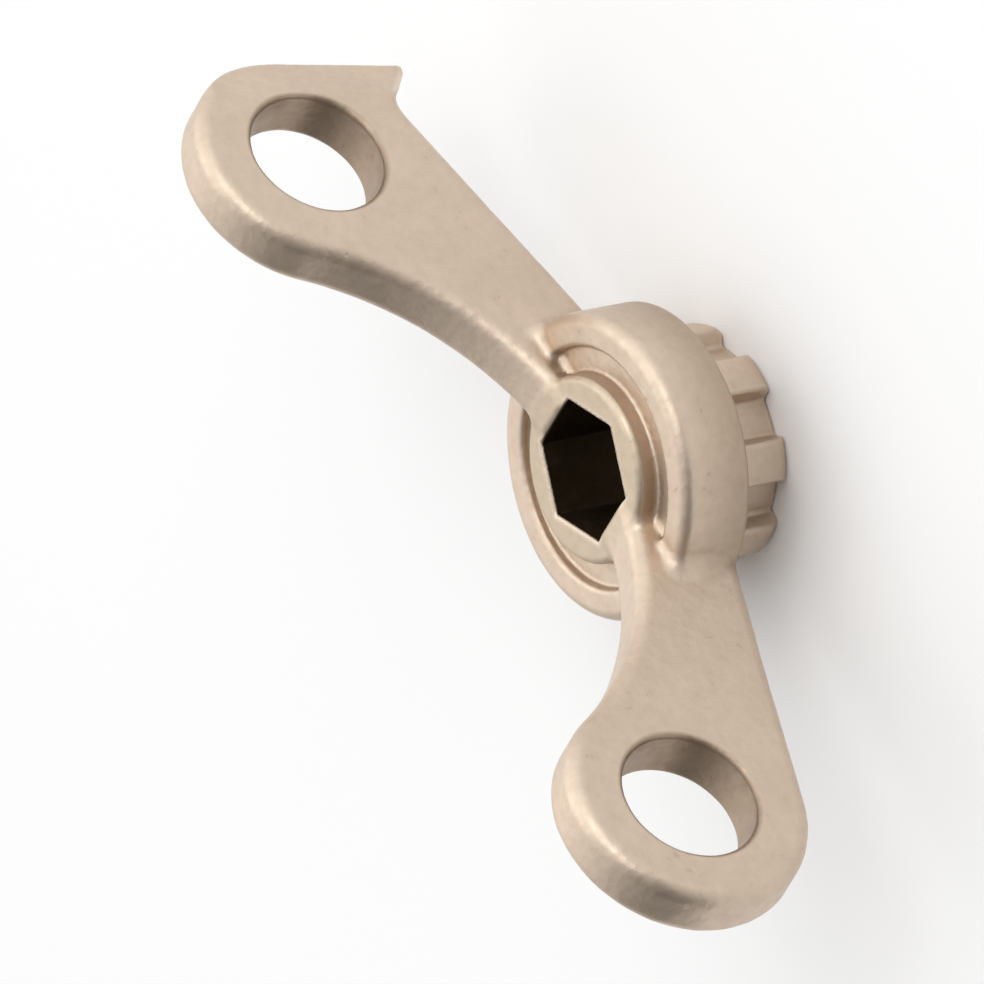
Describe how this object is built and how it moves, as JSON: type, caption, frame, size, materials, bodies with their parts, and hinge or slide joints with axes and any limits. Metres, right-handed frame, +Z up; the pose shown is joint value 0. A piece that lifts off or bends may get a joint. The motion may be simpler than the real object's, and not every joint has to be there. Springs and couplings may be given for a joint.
{
  "type": "bottom bracket tool",
  "caption": "Cast hand tool shaped like a wing nut: a splined hub turns a crank's preload cap, its wings give grip, and one wing ends in a blade.",
  "frame": {"origin": "centre of the splined boss's end face, on the tool's axis", "axes": "+Z up the tool's axis from the boss to the hub's rim, the wings lie along X with the bladed wing at +X, and Y runs across the wings' thickness"},
  "size_m": [0.0684, 0.02, 0.0258],
  "materials": {
    "cast_steel": "satin, investment cast and plated"
  },
  "bodies": {
    "root": {"wing_tool": "cast_steel"}
  },
  "joints": []
}
